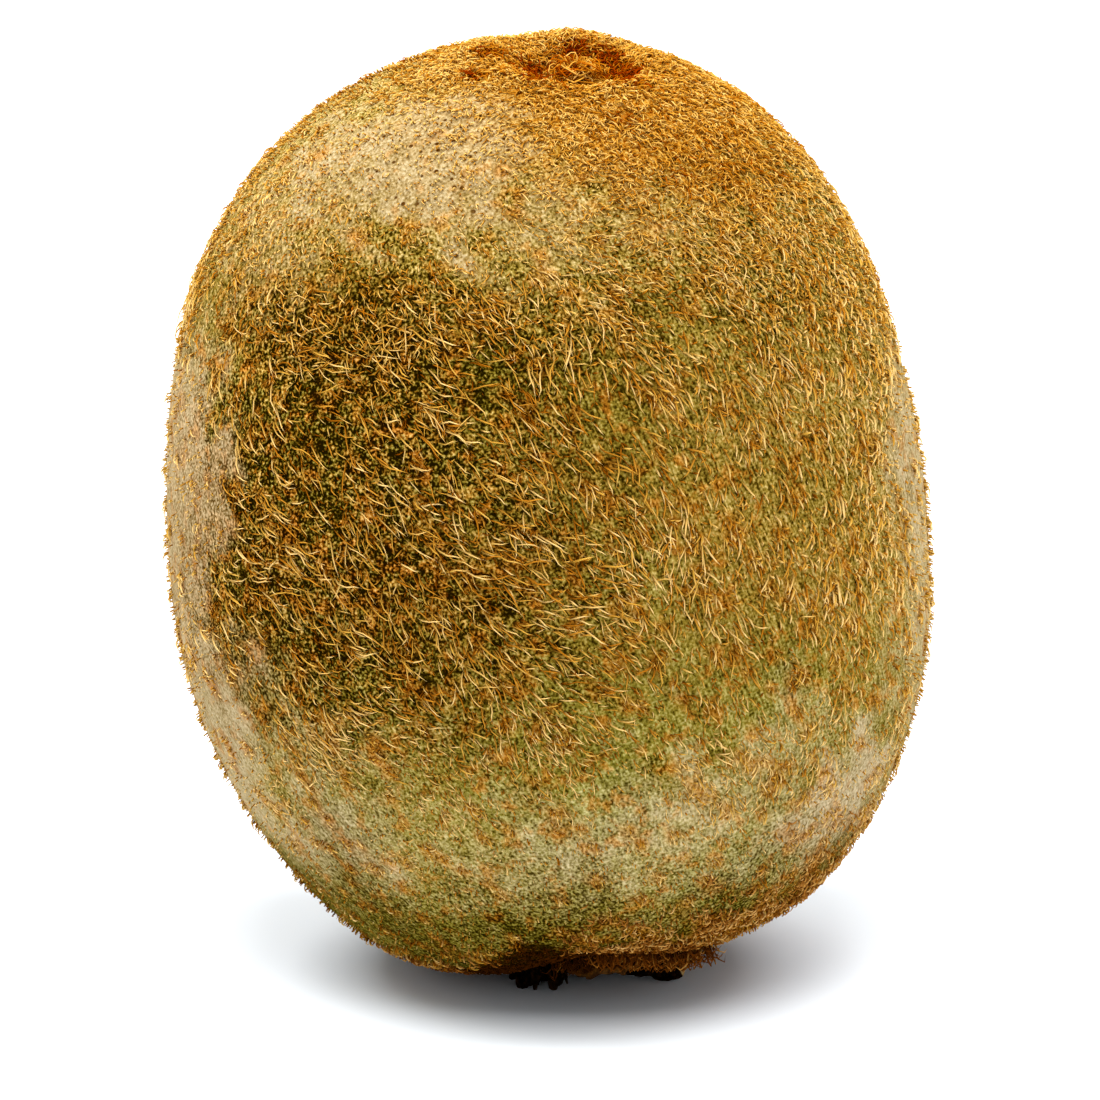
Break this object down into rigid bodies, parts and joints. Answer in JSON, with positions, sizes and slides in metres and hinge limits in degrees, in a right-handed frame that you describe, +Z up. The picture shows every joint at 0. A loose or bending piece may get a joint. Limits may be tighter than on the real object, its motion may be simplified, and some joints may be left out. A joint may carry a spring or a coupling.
{
  "type": "kiwi fruit",
  "caption": "Whole ripe green kiwi fruit with hairy brown skin, standing upright on its dried calyx, with dried styles in the dimple on top.",
  "frame": {"origin": "on the surface that the fruit stands on, at the middle of the stalk's scar under the calyx", "axes": "+Z up, from the stalk end to the flower end; -Y is the front, which the dimple leans towards; the berry bulges most to -X"},
  "size_m": [0.0525, 0.049, 0.0651],
  "materials": {
    "skin": "matt olive-brown skin under short golden-tan hairs, paler and barer at the ends",
    "calyx": "dry, papery dark brown, tan along the edges",
    "styles": "dry red-brown threads, matt"
  },
  "bodies": {
    "root": {"berry": "skin", "calyx": "calyx", "dried_styles": "styles"}
  },
  "joints": []
}
